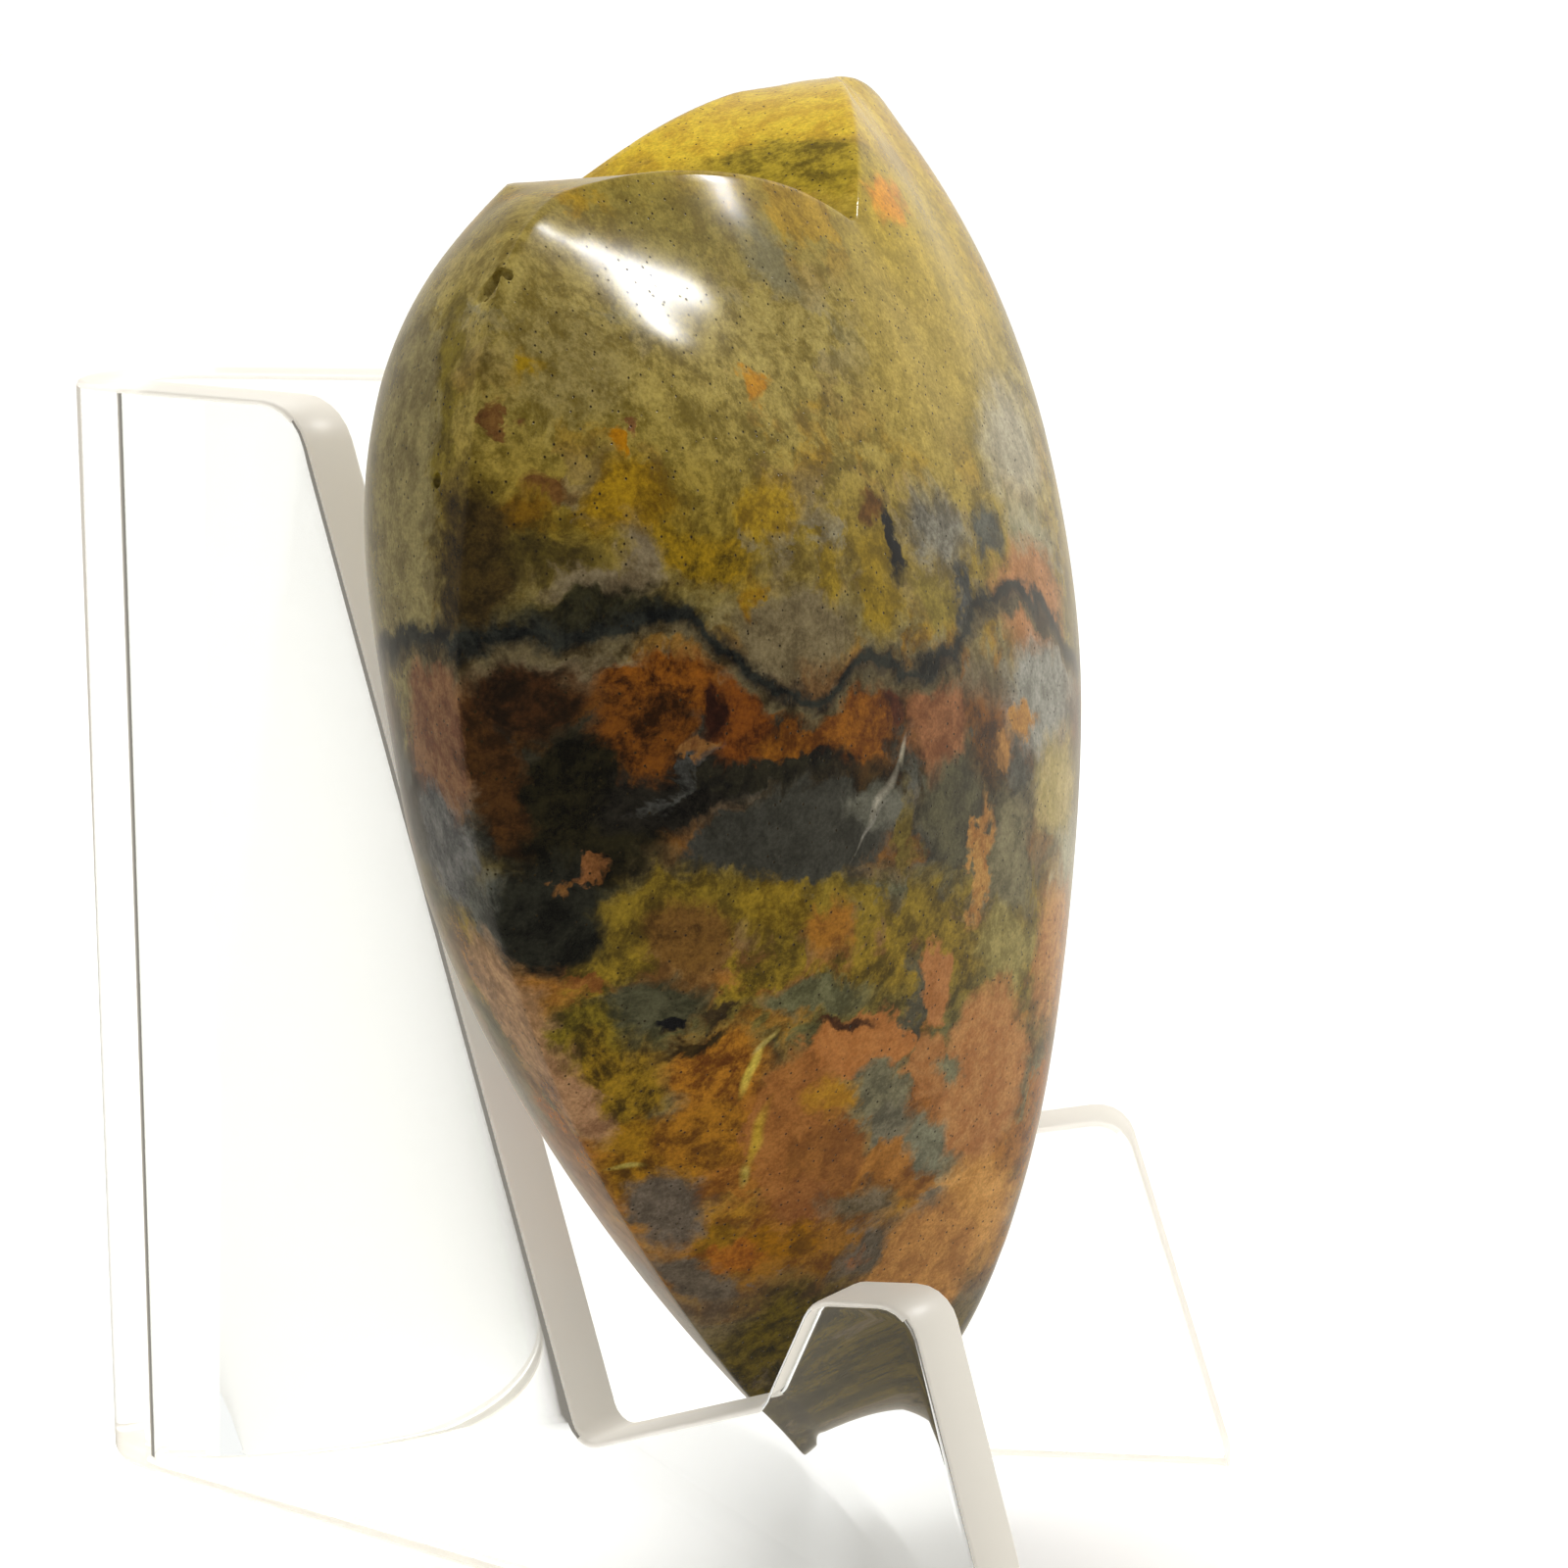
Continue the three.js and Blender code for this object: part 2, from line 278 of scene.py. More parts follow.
# %% Pits in the polish
# Each row: place from the tip (across, up, out) and radius, in millimetres
PITS = [
    ((-13.43, 48.4, 34.6), 0.52), ((-13.0, 48.68, 34.4), 0.42), ((-13.9, 48.15, 34.5), 0.38),
    ((-13.3, 47.95, 34.6), 0.38), ((-15.26, 41.59, 34.4), 0.3),
]
BALL_ROUNDNESS = 3
RIM_ANGLE = math.radians(48)
view_matrix = Euler(VIEW_TURN).to_matrix()
for centre, radius in PITS:
    ball_place = HEART_TIP + view_matrix @ Vector(centre) * MM
    bpy.ops.mesh.primitive_ico_sphere_add(
        subdivisions=BALL_ROUNDNESS, radius=radius * MM, location=ball_place)
    ball = bpy.context.object
    bpy.ops.object.select_all(action="DESELECT")
    stone.select_set(True)
    bpy.context.view_layer.objects.active = stone
    cut = stone.modifiers.new("pit", "BOOLEAN")
    cut.operation = "DIFFERENCE"
    cut.solver = "MANIFOLD"
    cut.object = ball
    bpy.ops.object.modifier_apply(modifier=cut.name)
    bpy.data.objects.remove(ball)
# The Boolean leaves an empty material slot behind, which would hide the jasper
stone.data.materials.clear()
bpy.ops.object.shade_smooth_by_angle(angle=RIM_ANGLE)
print("stone with pits has", len(stone.data.polygons), "faces")

# %% [markdown]
# Bumble bee jasper isn't one colour: it is volcanic ash and carbonate laid down in bands and
# stained by sulphur, iron and manganese. The bands run right through the stone, so they are
# made as solid colour in space. Painted on, they would stretch over the ridge and stop at
# the rims of the pits. The pattern is laid out on three axes in millimetres from the tip:
# across, up, and out towards the viewer's side. Three sizes of noise push the place about
# first, so that every edge comes out ragged.

# %% Pattern space
# Ash bound by carbonate, ground and polished on a wheel. That gives the eye deep opaque
# colour under a thin, sharp gloss
jasper, rock, jasper_output = new_material("polished bumble bee jasper")
place = add_node(rock, "TexCoord").outputs["Object"]
layout = add_node(rock, "Mapping", {"vector_type": "TEXTURE"}, {
    "Vector": place, "Location": HEART_TIP, "Rotation": VIEW_TURN, "Scale": (MM, MM, MM)})
laid = layout.outputs["Vector"]
# Noise runs from 0 to 1, so with its middle taken away it pushes both ways
MIDDLE_OF_NOISE = (0.5, 0.5, 0.5)
NOISE_ROUGHNESS = 0.6


def pushed(vector, size_mm, push_mm, detail):
    """A place moved about by noise of a given grain size and push, both in millimetres."""
    noise = add_node(rock, "TexNoise", inputs={
        "Vector": vector, "Scale": 1 / size_mm, "Detail": detail, "Roughness": NOISE_ROUGHNESS})
    centred = add_node(rock, "VectorMath", {"operation": "SUBTRACT"}, {
        0: noise.outputs["Color"], 1: MIDDLE_OF_NOISE})
    moved = add_node(rock, "VectorMath", {"operation": "MULTIPLY_ADD"}, {
        0: centred.outputs["Vector"], 1: (push_mm, push_mm, push_mm), 2: vector})
    return moved.outputs["Vector"]


broad = pushed(laid, size_mm=5.0, push_mm=2.0, detail=2.0)
lumpy = pushed(broad, size_mm=1.6, push_mm=2.2, detail=3.0)
ragged = pushed(lumpy, size_mm=0.45, push_mm=0.8, detail=3.0)
up = add_node(rock, "SeparateXYZ", inputs={"Vector": ragged}).outputs["Y"]
print("pattern space has", len(rock.nodes), "nodes")

# %% [markdown]
# The ground of the stone is a pile of bands, from the dark olive tip up to the mustard top.
# Each band has a light and a dark tone, and a light and a dark tone for the patches in it.
# Light and dark are kept apart as two coats, and the mottling picks between them at the very
# end, so a body with two close tones looks smooth and one with two far tones looks grainy.

# %% Bands from the tip up
# Each row: height in millimetres, light tone, dark tone, light and dark tone of the patches
BANDS = [
    (0.0, "5e4e18", "2a220c", "6e6048", "463c2a"),
    (7.5, "66561a", "342c0e", "7c6c50", "54483a"),
    (9.5, "74664c", "54493a", "8c6420", "64420e"),
    (11.5, "94661c", "664010", "7c7060", "584c40"),
    (14.0, "a06c26", "6c4212", "a8781e", "6a4410"),
    (19.0, "9c6228", "6c3e12", "7a7454", "54503a"),
    (21.5, "66623a", "3c3a22", "94702c", "5c4414"),
    (23.5, "957a20", "4a3c10", "9a6828", "6c4418"),
    (27.0, "8a7424", "5a4a18", "6c6a50", "46452f"),
    (28.5, "55544a", "33322a", "7c5424", "4c3012"),
    (31.0, "3c2e16", "1a140a", "5c5c52", "38382e"),
    (33.8, "7a4a14", "40240a", "34240f", "1a1208"),
    (35.2, "7a6e54", "584c34", "8c6030", "5c3c1a"),
    (37.0, "90824e", "64562a", "9a7c20", "5e480e"),
    (40.0, "947c26", "604e16", "8c8468", "6a6048"),
    (43.5, "aa964a", "6e5e22", "a88620", "6c5410"),
    (48.0, "ae9c56", "78672a", "988e66", "6c633c"),
    (52.0, "98863c", "76642a", "b08e28", "866a1a"),
    (57.0, "d0b030", "ac8c20", "c09c38", "98782a"),
]
BAND_TOP_MM = 64.0
height_share = add_node(rock, "MapRange", inputs={
    "Value": up, "From Max": BAND_TOP_MM}).outputs["Result"]
band_heights, *tone_columns = zip(*BANDS)
band_tones = []
for tones in tone_columns:
    ramp = add_node(rock, "ValToRGB", inputs={"Fac": height_share})
    stops = ramp.color_ramp.elements
    stops[-1].position = band_heights[-1] / BAND_TOP_MM
    for height in band_heights[1:-1]:
        stops.new(height / BAND_TOP_MM)
    for stop, tone in zip(stops, tones):
        stop.color = linear(tone)
    band_tones.append(ramp.outputs["Color"])
light_tones, dark_tones, light_patch_tones, dark_patch_tones = band_tones
print("bands:", len(BANDS))

# %% [markdown]
# The patches are clouds a few millimetres across, where a little more iron or ash came in. A
# noise decides where they lie. The tones of the patches are then laid over those of the
# bands, for the light coat and the dark coat alike, and all that follows is laid over them in
# the same way.

# %% Patches in the bands
PATCH_MM = 4.2
PATCH_FROM, PATCH_FULL = 0.5, 0.58
# A Mix node set to colour keeps its two colours and its result in these sockets
MIX_BELOW, MIX_ABOVE, MIX_RESULT = 6, 7, 2


def laid_over(coats, amount, tones):
    """The light and the dark coat with a pair of tones laid over them. The amount is 0 to 1."""
    covered = []
    for coat, tone in zip(coats, tones):
        mix = add_node(rock, "Mix", {"data_type": "RGBA"}, {
            "Factor": amount, MIX_BELOW: coat, MIX_ABOVE: tone})
        covered.append(mix.outputs[MIX_RESULT])
    return covered


patches = add_node(rock, "TexNoise", inputs={
    "Vector": ragged, "Scale": 1 / PATCH_MM, "Detail": 4.0, "Roughness": NOISE_ROUGHNESS})
patch = add_node(rock, "MapRange", {"interpolation_type": "SMOOTHSTEP"}, {
    "Value": patches.outputs["Fac"], "From Min": PATCH_FROM, "From Max": PATCH_FULL})
coats = laid_over(
    (light_tones, dark_tones), patch.outputs["Result"], (light_patch_tones, dark_patch_tones))
print("patches:", PATCH_MM, "mm across")

# %% [markdown]
# Over the bands lie the bodies that give this stone its face: rust and terracotta lumps, a
# slate lens, a black wedge, mustard clouds. Each is an ellipsoid at a place, with a size
# and a turn, in the same millimetres, and the pushed space makes its edge ragged.

# %% Bodies in the stone
# Each row: place (across, up, out), half sizes, turn in degrees, softness, light tone, dark tone
BODIES = [
    # the far lobe, and the wall of the cleft
    ((-4.6, 59.0, 9.0), (8.0, 2.6, 9.0), 8, 0.30, "dcbc2c", "c09a20"),
    ((-2.6, 55.9, 13.0), (3.7, 1.7, 7.0), -4, 0.25, "b29a24", "64540e"),
    ((2.8, 52.0, 12.0), (4.0, 7.0, 8.0), -25, 0.60, "c8aa34", "a48c28"),
    ((1.0, 54.6, 14.0), (0.8, 1.0, 3.0), 20, 0.40, "e09a22", "c07c18"),
    ((2.0, 49.0, 17.0), (0.8, 0.8, 3.0), 0, 0.70, "c88c3c", "a87830"),
    ((2.2, 47.6, 18.0), (3.0, 4.5, 7.0), 0, 0.70, "b8a04c", "98843a"),
    ((6.2, 44.8, 12.0), (1.7, 2.4, 6.0), 0, 0.60, "b8b094", "948c74"),
    ((7.0, 41.0, 13.0), (1.2, 1.3, 5.0), 0, 0.50, "a8a080", "8c8664"),
    # the near lobe's khaki
    ((-9.6, 54.5, 30.0), (3.5, 0.8, 6.0), 5, 0.60, "b89c48", "98823c"),
    ((-7.1, 51.2, 26.0), (2.6, 1.6, 6.0), -30, 0.60, "9a8a40", "766628"),
    ((-3.5, 50.6, 24.0), (0.8, 1.5, 4.0), 25, 0.50, "8c8460", "78704c"),
    ((-11.0, 45.8, 34.0), (2.4, 2.2, 5.0), 0, 0.50, "988850", "6c5c26"),
    ((-13.6, 50.4, 34.5), (0.6, 0.3, 1.5), -8, 0.40, "ac7c18", "886010"),
    ((-12.1, 45.4, 35.0), (0.9, 0.5, 2.0), 15, 0.50, "9c7e18", "7c6210"),
    ((-4.3, 45.6, 28.5), (0.5, 0.5, 1.5), 0, 0.40, "c08a20", "a87018"),
    ((-2.2, 45.2, 27.0), (0.5, 0.3, 1.5), 0, 0.50, "b08c28", "947828"),
    ((-13.2, 43.7, 36.3), (0.5, 0.8, 1.2), 18, 0.15, "7e5a2c", "604020"),
    ((-8.8, 43.5, 34.0), (0.35, 0.5, 1.2), -10, 0.15, "8e6438", "6c4826"),
    ((-9.4, 42.8, 34.4), (0.3, 0.6, 1.2), 10, 0.30, "b47a0c", "8c5c08"),
    ((-11.4, 41.2, 35.5), (0.9, 0.4, 1.5), 0, 0.40, "745026", "523818"),
    ((-15.1, 45.0, 34.0), (0.6, 5.2, 2.5), -3, 0.50, "7c6c1e", "564810"),
    ((-21.0, 43.5, 32.5), (5.7, 18.0, 8.5), 2, 0.08, "8f8354", "6c603c"),
    # mustard clouds above the vein
    ((-8.8, 41.0, 33.5), (1.7, 1.3, 4.0), 20, 0.30, "a88418", "6a500e"),
    ((-3.6, 40.9, 30.0), (1.4, 1.2, 4.0), 0, 0.30, "ac8c1e", "765c12"),
    ((-6.1, 39.3, 32.0), (2.0, 1.1, 4.0), -20, 0.30, "9c7c16", "46380c"),
    ((-12.4, 40.2, 35.5), (1.1, 0.8, 3.0), 0, 0.40, "7c5a12", "4a360a"),
    ((-13.9, 38.6, 34.5), (1.5, 3.0, 4.0), 0, 0.30, "4a3a18", "2a200e"),
    ((-11.4, 38.7, 34.5), (1.8, 0.8, 4.0), 0, 0.40, "5e501e", "3a3014"),
    ((-8.3, 38.9, 33.5), (0.6, 1.2, 2.0), 20, 0.5, "86785c", "64563e"),
    ((-9.6, 37.9, 34.0), (2.0, 0.5, 3.0), 5, 0.40, "827458", "62543c"),
    ((-2.9, 36.5, 29.0), (2.3, 1.6, 5.0), 0, 0.40, "807252", "5e5238"),
    ((-4.1, 37.8, 29.5), (0.4, 1.0, 2.0), 10, 0.40, "9c7c1a", "78500e"),
    ((-1.6, 38.6, 28.0), (0.5, 1.0, 2.0), -5, 0.40, "9c8224", "6c5814"),
    ((0.3, 38.4, 25.5), (0.9, 1.9, 4.0), 5, 0.35, "947a1c", "6a560e"),
    ((0.2, 41.5, 25.0), (0.5, 0.7, 2.0), 0, 0.40, "704c1c", "4c3210"),
    ((2.9, 37.8, 23.0), (1.0, 1.3, 3.0), 0, 0.35, "8e7c30", "6a5c20"),
    ((2.9, 40.9, 21.5), (1.4, 1.6, 4.0), 0, 0.50, "8a8676", "5a564a"),
    ((4.9, 41.0, 18.0), (0.7, 1.0, 3.0), 20, 0.40, "5e5f54", "3e3f36"),
    ((3.8, 38.4, 21.0), (0.45, 1.7, 3.0), 0, 0.40, "505250", "30322e"),
    ((1.0, 40.2, 24.5), (0.42, 1.6, 2.5), 14, 0.30, "1a1c1e", "0c0e10"),
    # the orange and blue-grey right side
    ((6.9, 38.3, 13.0), (2.1, 2.3, 6.0), 15, 0.30, "b47c4c", "94622f"),
    ((7.4, 34.4, 13.0), (2.0, 2.2, 6.0), 0, 0.35, "9a998e", "706f64"),
    ((6.6, 33.7, 16.0), (0.7, 0.9, 2.5), -25, 0.30, "b8843a", "986a2c"),
    ((5.8, 32.4, 18.0), (0.5, 0.6, 2.0), 0, 0.40, "a8783a", "805828"),
    ((8.2, 30.6, 11.0), (1.5, 2.2, 5.0), 0, 0.50, "b8a468", "98884c"),
    ((9.0, 27.3, 9.0), (1.1, 2.2, 5.0), 0, 0.50, "a8a484", "8c886c"),
    ((3.5, 29.8, 21.5), (1.4, 3.0, 5.0), 0, 0.35, "5a563e", "3c392c"),
    ((5.9, 28.2, 17.0), (1.1, 2.6, 5.0), 0, 0.40, "7c7454", "585238"),
    ((4.6, 28.0, 19.5), (0.5, 2.8, 2.5), -3, 0.20, "b08444", "8e5e2c"),
    ((8.4, 23.6, 10.0), (1.3, 3.6, 5.0), 8, 0.40, "bc884c", "9c6836"),
    ((5.9, 24.4, 16.0), (1.3, 1.6, 4.0), 0, 0.40, "9a8c50", "746834"),
    # rust, black and slate under the vein
    ((-9.4, 36.9, 33.5), (3.7, 0.95, 3.0), 4, 0.35, "33301c", "121108"),
    ((-12.0, 33.9, 34.5), (2.1, 1.3, 5.0), 0, 0.35, "40260f", "1c1208"),
    ((-10.5, 29.8, 33.0), (3.3, 3.2, 7.0), 20, 0.25, "262210", "0c0b06"),
    ((-6.8, 30.6, 31.0), (3.4, 1.4, 6.0), 25, 0.25, "24211a", "0c0b09"),
    ((-7.4, 34.4, 32.5), (2.4, 1.1, 4.0), -3, 0.20, "8a5010", "2e1604"),
    ((-8.0, 32.6, 32.5), (1.6, 1.7, 4.0), 20, 0.20, "76440e", "2a1504"),
    ((-4.6, 32.9, 31.0), (1.3, 1.5, 4.0), 0, 0.20, "7c4410", "3e1e08"),
    ((-2.0, 32.1, 29.5), (2.0, 0.9, 4.0), 3, 0.15, "8c5614", "542e08"),
    ((-0.2, 33.2, 27.5), (1.4, 1.4, 4.0), 20, 0.20, "905816", "5a300c"),
    ((-5.6, 33.4, 31.5), (0.5, 0.9, 3.0), 0, 0.40, "34180c", "200e08"),
    ((1.0, 34.0, 26.0), (0.6, 1.0, 3.0), 0, 0.40, "522a16", "341810"),
    ((2.9, 33.3, 23.0), (1.1, 1.9, 4.0), 0, 0.35, "94623c", "704426"),
    ((-6.1, 32.1, 31.5), (0.5, 0.4, 2.0), 0, 0.25, "8a6030", "684220"),
    ((-3.4, 31.3, 30.0), (4.0, 0.5, 5.0), 6, 0.30, "2e2b1e", "131210"),
    ((-1.9, 29.1, 28.0), (3.5, 1.9, 6.0), 10, 0.12, "424139", "32312a"),
    ((-5.6, 28.6, 30.0), (2.2, 0.8, 5.0), 32, 0.20, "3e3d36", "2e2d26"),
    ((0.6, 30.1, 26.5), (1.5, 0.9, 4.0), 0, 0.30, "68675a", "515044"),
    ((1.5, 29.0, 25.5), (0.35, 1.7, 3.0), 0, 0.40, "7c6c2c", "5a4c1e"),
    ((-6.9, 30.9, 31.3), (1.8, 0.2, 2.0), 42, 0.50, "4c4c48", "2c2c28"),
    # the left band behind the ridge
    ((-15.3, 32.4, 32.0), (1.7, 3.0, 4.5), 0, 0.25, "886240", "643f28"),
    ((-13.4, 31.2, 34.0), (0.9, 2.9, 4.0), 14, 0.30, "4e3112", "2c1a08"),
    ((-15.5, 28.5, 31.0), (1.5, 2.3, 4.5), 10, 0.25, "706f6a", "4a4a48"),
    ((-13.6, 26.3, 31.0), (1.1, 1.7, 4.0), 20, 0.30, "5c5d54", "3a3b34"),
    ((-11.6, 26.1, 31.5), (2.2, 1.9, 4.5), -30, 0.25, "28281f", "11110d"),
    ((-13.0, 22.8, 28.5), (1.4, 3.1, 4.0), 28, 0.35, "ac865e", "806040"),
    ((-10.3, 27.5, 32.3), (0.6, 0.35, 1.2), 10, 0.20, "885830", "5e3c1a"),
    ((-11.2, 27.2, 32.3), (0.35, 0.15, 1.0), 0, 0.40, "7a5228", "4e3416"),
    # the yellow-olive zone
    ((-7.5, 26.5, 30.0), (2.3, 1.2, 5.0), 15, 0.35, "87701f", "4c3d12"),
    ((-6.6, 25.4, 29.5), (1.7, 1.2, 4.0), 0, 0.35, "745222", "483112"),
    ((-3.2, 26.2, 28.0), (1.6, 1.0, 4.0), 0, 0.35, "90761e", "58450e"),
    ((-1.4, 25.4, 26.5), (1.1, 1.0, 3.5), 0, 0.35, "a06c22", "704618"),
    ((-8.0, 22.8, 28.5), (2.1, 1.3, 4.5), 10, 0.30, "525039", "343322"),
    ((-1.6, 23.0, 25.5), (2.6, 0.7, 4.0), -3, 0.35, "6e6c4a", "4a482e"),
    ((-7.4, 22.0, 28.5), (0.35, 0.35, 1.2), 0, 0.30, "18181a", "0c0c0e"),
    ((-5.6, 22.6, 27.5), (0.9, 0.3, 3.0), 32, 0.40, "42351e", "2a2012"),
    ((-10.3, 23.8, 30.0), (0.5, 0.35, 1.2), 0, 0.20, "90602a", "6c421a"),
    ((-10.2, 21.6, 28.5), (1.6, 1.3, 4.0), 0, 0.30, "7c6a1c", "3a320f"),
    # terracotta and gold low down
    ((-9.4, 19.6, 27.0), (2.1, 2.1, 4.0), -10, 0.35, "92721a", "3a2c0a"),
    ((-8.0, 16.4, 25.0), (2.3, 1.8, 4.0), 10, 0.35, "966a12", "4c3208"),
    ((-8.7, 17.7, 26.0), (1.5, 1.0, 3.5), -10, 0.35, "966e14", "5e3e0a"),
    ((-5.6, 20.3, 25.5), (2.0, 1.7, 4.0), 30, 0.30, "a8701e", "5c340e"),
    ((-5.9, 17.6, 24.5), (2.1, 1.4, 4.0), 10, 0.30, "a06c1a", "5a380e"),
    ((-6.6, 21.2, 26.5), (1.4, 0.3, 3.0), 30, 0.45, "3c2e12", "261c0c"),
    ((0.3, 20.9, 22.5), (2.3, 1.4, 4.5), 10, 0.10, "ae723a", "9c622e"),
    ((-3.0, 17.4, 22.5), (1.7, 3.5, 5.0), -14, 0.10, "9c6630", "845224"),
    ((-1.3, 16.3, 21.0), (2.1, 1.7, 4.0), 0, 0.15, "8e5c28", "74481e"),
    ((-2.2, 14.4, 20.0), (1.4, 1.3, 3.5), 0, 0.15, "8e5c2c", "764620"),
    ((-1.2, 18.8, 22.0), (0.9, 0.8, 2.5), 0, 0.50, "ac7c20", "926618"),
    ((-0.3, 21.9, 23.5), (1.3, 0.28, 3.0), -3, 0.40, "4e2e16", "2e1a0c"),
    ((2.1, 22.0, 21.0), (0.3, 2.2, 3.0), 0, 0.40, "56523e", "3c382a"),
    ((0.7, 18.8, 20.5), (1.1, 1.4, 3.0), 10, 0.25, "7c7659", "585440"),
    ((1.2, 17.4, 19.5), (1.0, 1.0, 3.0), 0, 0.25, "76705a", "545040"),
    ((3.0, 22.9, 20.5), (0.9, 1.5, 3.0), 0, 0.15, "aa7240", "925c2c"),
    ((5.1, 19.0, 15.0), (2.4, 4.2, 5.0), -8, 0.15, "b27e48", "9a6434"),
    ((2.5, 19.4, 19.0), (0.9, 1.8, 3.0), 0, 0.15, "aa7642", "925e2e"),
    ((3.5, 19.5, 17.5), (0.8, 0.7, 2.0), 0, 0.30, "7e7a5a", "605c42"),
    ((2.7, 16.4, 17.0), (1.1, 1.5, 3.0), 15, 0.25, "7e7c64", "5e5c48"),
    ((3.5, 15.0, 15.5), (0.7, 1.2, 3.0), 0, 0.25, "7c7a62", "5c5a45"),
    ((4.7, 13.0, 12.0), (2.5, 2.8, 5.0), 0, 0.30, "cc964e", "ae7a38"),
    ((1.1, 16.0, 18.5), (1.2, 0.8, 3.0), 10, 0.30, "aa722e", "86561e"),
    ((2.7, 11.2, 11.5), (2.3, 3.0, 5.0), -15, 0.25, "ba8444", "946432"),
    ((0.0, 14.2, 18.0), (1.8, 1.0, 3.5), 0, 0.35, "74664f", "52462f"),
    ((2.8, 13.8, 15.5), (1.4, 0.45, 2.5), 25, 0.40, "7c6e58", "5c503e"),
    ((0.0, 11.8, 15.5), (0.8, 1.6, 3.5), -32, 0.35, "6e6252", "524838"),
    ((0.0, 11.5, 16.0), (0.6, 0.9, 2.0), -35, 0.30, "a86632", "864e22"),
    ((-2.8, 12.7, 19.5), (2.1, 0.9, 3.5), 5, 0.25, "946204", "624004"),
    ((-4.9, 12.2, 20.0), (1.3, 0.9, 3.0), 0, 0.25, "a4641a", "78420e"),
    ((-5.6, 13.3, 21.0), (1.3, 0.5, 3.0), 10, 0.30, "906812", "664808"),
    ((-7.6, 14.6, 22.5), (1.7, 1.7, 4.0), 0, 0.25, "6a5e50", "4e4438"),
    ((-6.5, 11.2, 19.5), (2.3, 0.9, 3.5), -40, 0.35, "685c4c", "4c4236"),
    ((-2.4, 8.8, 14.0), (3.2, 2.0, 6.0), 0, 0.40, "62520f", "2c250a"),
    ((-11.0, 19.6, 26.5), (0.9, 2.3, 3.0), 30, 0.35, "a27c58", "7a583c"),
    # the back, which the picture doesn't show, goes on in the same tones
    ((-16.5, 47.5, 17.0), (3.0, 2.4, 4.0), 10, 0.35, "a88620", "6c5410"),
    ((-12.5, 50.0, 6.0), (3.0, 2.0, 3.0), 0, 0.40, "988e66", "6c633c"),
    ((-13.5, 44.5, 2.0), (2.6, 1.2, 3.0), -15, 0.35, "5e5f54", "3e3f36"),
    ((-7.0, 45.5, -4.0), (2.4, 3.0, 3.0), 20, 0.35, "b47c4c", "845224"),
    ((-17.6, 33.0, 20.0), (2.5, 1.6, 4.0), 0, 0.25, "8a5010", "2e1604"),
    ((-16.0, 31.0, 12.0), (3.0, 1.8, 4.0), 10, 0.25, "262210", "0c0b06"),
    ((-13.0, 33.6, 4.0), (3.0, 1.3, 3.5), -8, 0.20, "8c5614", "542e08"),
    ((-9.0, 30.5, -2.5), (2.6, 1.6, 3.0), 5, 0.15, "504f45", "3c3b32"),
    ((-4.5, 31.5, -8.5), (2.2, 2.4, 3.0), 0, 0.30, "94623c", "704426"),
    ((-14.5, 26.0, 17.0), (2.2, 1.6, 4.0), 0, 0.30, "745222", "483112"),
    ((-13.0, 24.0, 6.0), (2.6, 1.4, 4.0), 0, 0.30, "90761e", "58450e"),
    ((-12.0, 18.0, 15.0), (2.4, 2.2, 4.0), 20, 0.20, "ae723a", "845224"),
    ((-9.5, 19.0, 2.0), (2.6, 2.2, 4.0), -10, 0.15, "a26a32", "7c4c22"),
    ((-8.5, 14.5, 8.0), (2.0, 1.4, 4.0), 0, 0.30, "6a5e50", "4e4438"),
]
print("bodies:", len(BODIES))

# %% [markdown]
# A pale scratch and a few gold threads cross the stone. They are bodies too, long and very
# thin. The finest noise would break them up, so they lie in the softly pushed space.

# %% Threads
# Each row: as for the bodies
THREADS = [
    ((0.8, 30.9, 26.5), (0.10, 1.6, 2.0), -24, 0.60, "b4ae9c", "8a8474"),
    ((0.2, 29.4, 26.5), (0.05, 1.3, 2.0), -30, 0.60, "8c887c", "6a675c"),
    ((1.4, 32.2, 26.0), (0.12, 0.6, 2.0), -12, 0.60, "c4bca4", "9c947c"),
    ((-4.2, 20.3, 24.8), (0.16, 1.0, 1.5), -24, 0.60, "ccb44c", "a08c30"),
    ((-3.7, 21.3, 24.8), (0.10, 0.5, 1.5), -50, 0.60, "b8a460", "90803c"),
    ((-4.3, 17.2, 23.6), (0.13, 1.6, 1.5), -24, 0.60, "bc9e30", "907418"),
    ((-4.9, 15.7, 23.0), (0.15, 0.6, 1.5), -10, 0.60, "b8a850", "88782c"),
    ((-9.0, 16.4, 25.0), (0.7, 0.09, 1.5), 8, 0.60, "b0a050", "80722c"),
]
print("threads:", len(THREADS))

# %% [markdown]
# An ellipsoid is a ball in a space that is turned, moved and squeezed to fit it, so the
# distance from the middle of that space tells inside from outside. Bodies with the same turn
# share one Mapping node. Each body is laid over both coats, on top of those before it.

# %% Lay in the bodies and threads
turned_spaces = {}


